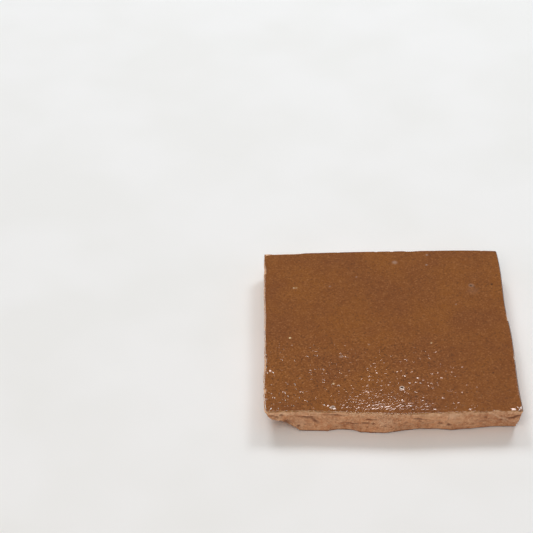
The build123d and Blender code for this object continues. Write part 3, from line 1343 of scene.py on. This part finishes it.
    def carve(self, points: np.ndarray) -> tuple[np.ndarray, np.ndarray]:
        """Cut the front's placed cracks and pits into the points.

        Args:
            points: rows and columns of x, y, z, changed in place.

        Returns:
            How much painted shade a crack gives each point, and how dusty from a blow it is, 0 to 1.
        """
        front = smooth_step(*self.front, points[..., 1])
        hollow = np.zeros(points.shape[:-1])
        dust = np.zeros(points.shape[:-1])
        for mark in self.gouges:
            tilt = math.radians(mark.tilt)
            x, z = points[..., 0] - mark.x, points[..., 2] - mark.z
            along = x * math.cos(tilt) + z * math.sin(tilt)
            over = z * math.cos(tilt) - x * math.sin(tilt)
            reach = (along / (mark.length / 2)) ** 2 + (over / (mark.height / 2)) ** 2
            bump = front * np.exp(-reach)
            points[..., 1] += bump * mark.depth
            # A mark cut in gets painted shade
            hollow = np.maximum(hollow, bump * (mark.depth > 0))
            dust = np.maximum(dust, bump * mark.dust)
        return hollow, dust

    def sleeve(self, turn: np.ndarray) -> tuple[np.ndarray, np.ndarray]:
        """Points of the sides and the bare rim.

        Args:
            turn: direction of each column.

        Returns:
            Rows and columns of x, y, z, and the run of each row up the profile.
        """
        even = np.linspace(self.first_row, self.rim.widest, self.rows)
        heights = np.concatenate([self.foot_rows, even])
        rows = [self.cad.slice(turn, np.full_like(turn, z)) for z in heights]
        bite = self.rim.bites(self.cad, turn)
        worn = np.maximum(self.arris.at(self.cad.place(turn), self.cad.perimeter), self.least_worn)
        for row, height in zip(rows, heights):
            lean = self.chip_lean * bite * smooth_step(self.lean_from, self.rim.widest, row[:, 2])
            row[:, :2] = drawn_in(row[:, :2], lean)
            if height < self.arris_height:
                crumbled = worn * (1 - height / self.arris_height) ** 2
                row[:, :2] = drawn_in(row[:, :2], crumbled)
        rows[0][:, 2] = 0.0
        edge = np.column_stack(self.cad.edge(turn))
        last = self.rim_steps[-1]
        for step in self.rim_steps:
            inside = self.chip_lean * bite * (1 - step / last) + step
            plan = drawn_in(edge, inside)
            z = self.cad.drop(plan, self.rim.widest)
            z -= self.sink.at(inside)
            z -= self.tuck.at(inside - bite)
            z -= bite * self.scoop.at(inside / (bite + self.scoop_least))
            rows.append(np.column_stack([plan, z]))
        rim = self.rim.widest + self.texture.rim_gap + np.array(self.rim_steps)
        return np.array(rows), np.concatenate([heights, rim])

    def add_sides(self, make: MeshMaker) -> tuple[np.ndarray, np.ndarray]:
        """Add the sides, the bare rim and the hidden cap.

        Args:
            make: the mesh so far.

        Returns:
            Numbers and points of the lowest row, for the bedding face to join.
        """
        turn = np.arange(4 * self.columns) / self.columns
        points, run = self.sleeve(turn)
        hollow, dust = self.carve(points)
        height = points[..., 2]
        # Painted contact shadow along the lower edge, kept with the painted shade of the cracks
        hollow = np.maximum(hollow, self.foot_painted_shadow.at(height))
        rough = smooth_step(*self.rough_up, height)
        rough *= smooth_step(self.rough_fade, 0.0, height - self.rough_top)
        rough = np.maximum(rough, self.rough_least + self.rough_more.at(height))
        rough[len(points) - len(self.rim_steps) + self.rough_rim_rows :] = 0.0
        rows = make.add_points(points, hollow=hollow, dust=dust, rough=rough)
        spot = self.texture
        v = run / spot.strip_height
        for side in Side:
            first = side.value * self.columns
            columns = np.arange(first, first + self.columns + 1)
            across = np.linspace(*spot.strip_ends, self.columns + 1)
            up = spot.strip_low + (side.value + spot.strip_fill * v) * spot.strip_step
            make.add_grid(rows[:, columns % len(turn)], np.dstack(np.meshgrid(across, up)))
        inner = points[-1].copy()
        inner[:, 2] = self.cap
        low = make.add_points(inner, hollow=0.0, dust=0.0, rough=0.0)
        loop = np.arange(len(turn) + 1) % len(turn)
        corner = spot.cap_corner
        places = corner + spot.cap_size * (0.5 + inner[:, :2] / spot.cap_cover)
        shrunk = corner + (places[loop] - corner) * spot.cap_shrink
        make.add_grid(np.stack([rows[-1][loop], low[loop]]), np.stack([places[loop], shrunk]))
        make.add_faces(low[None], places * spot.cap_shrink)
        return rows[0], points[0]

    def add_bed(self, make: MeshMaker, edge: np.ndarray, rim: np.ndarray) -> None:
        """Add the bedding face.

        Args:
            make: the mesh so far.
            edge: numbers of the lowest row of the sides.
            rim: its points.
        """
        share, middle = self.texture.bed_scale, self.texture.bed_middle
        step = self.border_step
        inner = drawn_in(rim[::step], self.border)
        steps = np.linspace(-1, 1, self.under + 1)
        u, v = np.meshgrid(steps, steps)
        ring = np.maximum(np.maximum(np.abs(u), np.abs(v)), TINY)
        turn = turn_of(u / ring, v / ring)
        count = len(inner)
        known = np.arange(count + 1) * 4 / count
        x, y = (np.interp(turn, known, np.append(inner[:, i], inner[0, i])) * ring for i in (0, 1))
        points = np.dstack([x, y, 0 * x])
        bed = make.add_points(points, hollow=0.0, dust=0.0, rough=self.rough_bed)
        plan = np.dstack([x, y])
        make.add_grid(bed[:, ::-1], middle + plan[:, ::-1] * share)
        near = closed_loop(bed)
        k = np.arange(count)
        ends = range(step, -1, -1)
        far = [edge[(step * k + i) % len(edge)] for i in ends]
        corners = np.column_stack([near, near[(k + 1) % count], *far])
        outer = [rim[(step * k + i) % len(edge), :2] for i in ends]
        places = np.stack([inner[:, :2], inner[(k + 1) % count, :2], *outer], 1)
        make.add_faces(corners, middle + places * share)

    def relief(self, finish: bpy.types.Material) -> ReliefTree:
        """The broken surface: flakes, crumbs, thin layers and pores, all cut inwards.

        Args:
            finish: the clay.

        Returns:
            The tree, ready to run.
        """
        make = ReliefTree("broken_clay", self.seed)
        rough = make.add("GeometryNodeInputNamedAttribute", {"Name": "rough"})
        hollow = make.add("GeometryNodeInputNamedAttribute", {"Name": "hollow"})
        ridge: Any = make.draw_lumps(self.flake)
        for operation, value in self.flake_steps:
            ridge = make.add("ShaderNodeMath", {0: ridge, 1: value}, operation=operation)
        inputs = {0: make.where, 1: self.layer_stretch}
        flat = make.add("ShaderNodeVectorMath", inputs, operation="MULTIPLY")
        low, high = self.layer_step
        inputs = {0: make.draw_lumps(self.layer, flat), 1: low, 2: high}
        step = make.add("ShaderNodeMapRange", inputs)
        low, high = self.pore_step
        pit = make.add("ShaderNodeMapRange", {0: make.draw_lumps(self.pore), 1: low, 2: high})
        parts = (ridge, self.flake), (make.draw_lumps(self.crumb), self.crumb)
        total = make.pile(*parts, (step, self.layer), (pit, self.pore))
        depth = make.add("ShaderNodeMath", {0: total, 1: rough}, operation="MULTIPLY")
        inward = make.add("ShaderNodeMath", {0: depth, 1: -1.0}, operation="MULTIPLY")
        inputs = {0: make.add("GeometryNodeInputNormal"), "Scale": inward}
        shift = make.add("ShaderNodeVectorMath", inputs, operation="SCALE")
        # Pores get painted shade, kept with that of the cracks and the lower edge
        dark = make.add("ShaderNodeMath", {0: pit, 1: rough}, operation="MULTIPLY")
        dark = make.add("ShaderNodeMath", {0: dark, 1: self.pore_shade}, operation="MULTIPLY")
        shade_with_pores = make.add("ShaderNodeMath", {0: hollow, 1: dark}, operation="MAXIMUM")
        inputs = {"Geometry": make.start, "Name": "hollow", "Value": shade_with_pores}
        marked = make.add("GeometryNodeStoreNamedAttribute", inputs)
        inputs = {"Geometry": marked, "Offset": shift}
        make.finish(make.add("GeometryNodeSetPosition", inputs), finish)
        return make

    def build(self) -> bpy.types.Object:
        """Make the finished body.

        Returns:
            The linked object.
        """
        make = MeshMaker()
        edge, rim = self.add_sides(make)
        self.add_bed(make, edge, rim)
        body = make.build(self.name)
        self.relief(self.finish.build()).apply(body)
        return body


@dataclass(frozen=True)
class SoftBox:
    """A square studio lamp aimed at the tile."""

    name: str
    azimuth: float  # degrees from the back, towards the right
    elevation: float
    distance: float
    width: float
    height: float
    level: float  # light on the floor, where 1 makes white read as white
    tint: str = "#FFFFFF"

    def build(self) -> bpy.types.Object:
        """Make the lamp.

        Returns:
            The linked object.
        """
        lamp = bpy.data.lights.new(self.name, "AREA")
        lamp.shape = "RECTANGLE"
        lamp.size, lamp.size_y = self.width, self.height
        rise = math.radians(self.elevation)
        swing = math.radians(self.azimuth)
        lamp.energy = self.level * (math.pi * self.distance) ** 2 / math.sin(rise)
        lamp.color = linear(self.tint)[:3]
        made = bpy.data.objects.new(self.name, lamp)
        flat = math.cos(rise)
        way = Vector((math.sin(swing) * flat, math.cos(swing) * flat, math.sin(rise)))
        made.location = way * self.distance
        made.rotation_euler = way.to_track_quat("Z", "Y").to_euler()
        bpy.context.scene.collection.objects.link(made)
        return made


@dataclass
class Studio:
    """Floor, lamps, surroundings and camera."""

    finish: PaleFloor
    floor_reach: float = 4.0  # metres from the middle to each side
    grey: float = 0.19  # light of the surroundings
    eye: tuple[float, float, float] = (-49.07, -611.55, 534.06)  # millimetres
    pitch: float = 38.777  # degrees below level
    lens: float = 134.07  # millimetres, as is the sensor's width
    sensor: float = 36.0
    nearest: float = 0.01  # metres from the eye where the view starts
    lamps: tuple[SoftBox, ...] = (
        SoftBox("overhead", 0.0, 90.0, 1.5, 1.3, 1.3, 0.12),
        SoftBox("front", 200.0, 50.0, 1.4, 0.8, 0.8, 0.27, "#FFF6EC"),
        SoftBox("back_left", -19.0, 45.0, 1.5, 0.46, 0.48, 0.22, "#F1FAFF"),
        SoftBox("back_right", 32.0, 45.0, 1.5, 0.46, 0.48, 0.22, "#F1FAFF"),
        SoftBox("back_slit", 7.5, 49.7, 1.6, 0.16, 0.16, 0.031, "#FFF0EC"),
    )

    def floor(self) -> bpy.types.Object:
        """Make the floor.

        Returns:
            The linked object.
        """
        reach = self.floor_reach
        mesh = bpy.data.meshes.new("floor")
        corners = [(-reach, -reach, 0), (reach, -reach, 0), (reach, reach, 0), (-reach, reach, 0)]
        mesh.from_pydata(corners, [], [(0, 1, 2, 3)])
        mesh.materials.append(self.finish.build())
        made = bpy.data.objects.new("floor", mesh)
        bpy.context.scene.collection.objects.link(made)
        return made

    def surroundings(self) -> None:
        """Fill the room round the tile with an even grey."""
        world = bpy.data.worlds.new("studio_room")
        world.use_nodes = True
        world.node_tree.nodes["Background"].inputs["Color"].default_value = (*[self.grey] * 3, 1.0)
        bpy.context.scene.world = world

    def camera(self) -> bpy.types.Object:
        """Make the camera and give it to the scene.

        Returns:
            The linked object.
        """
        data = bpy.data.cameras.new("camera")
        data.sensor_width = self.sensor
        data.lens = self.lens
        data.clip_start = self.nearest
        made = bpy.data.objects.new("camera", data)
        made.location = Vector(self.eye) * MM
        made.rotation_euler = (math.radians(90 - self.pitch), 0.0, 0.0)
        bpy.context.scene.collection.objects.link(made)
        bpy.context.scene.camera = made
        return made

    def build(self) -> None:
        """Make everything round the tile."""
        self.floor()
        self.surroundings()
        self.camera()
        for lamp in self.lamps:
            lamp.build()
        bpy.context.scene.view_settings.view_transform = "Standard"


def merged_copy(node: bpy.types.Object) -> bpy.types.Object:
    """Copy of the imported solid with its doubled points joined.

    Args:
        node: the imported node, which stays as it is.

    Returns:
        The copy, not shown in the scene.
    """
    mesh = node.data.copy()
    work = bmesh.new()
    work.from_mesh(mesh)
    bmesh.ops.remove_doubles(work, verts=work.verts, dist=MERGE_REACH)
    work.to_mesh(mesh)
    work.free()
    return bpy.data.objects.new("solid_to_read", mesh)


def main() -> None:
    """Build the studio and the tile."""
    logging.basicConfig(level=logging.INFO, format="%(message)s")
    Studio(PaleFloor()).build()
    rim = Rim()
    solid = merged_copy(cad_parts[NODE])
    cad = CadShape(solid, rim.widest)
    bpy.data.objects.remove(solid)
    body = ClayBody(cad, rim, Terracotta()).build()
    coat = GlazeCoat(cad, rim, CaramelGlaze()).build()
    for piece, slot in ((body, "terracotta"), (coat, "glazed_clay")):
        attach(piece, BODY)
        log.info("%s: %d faces", piece.name, len(piece.data.polygons))
    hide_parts(NODE)


if __name__ == "__main__":
    main()
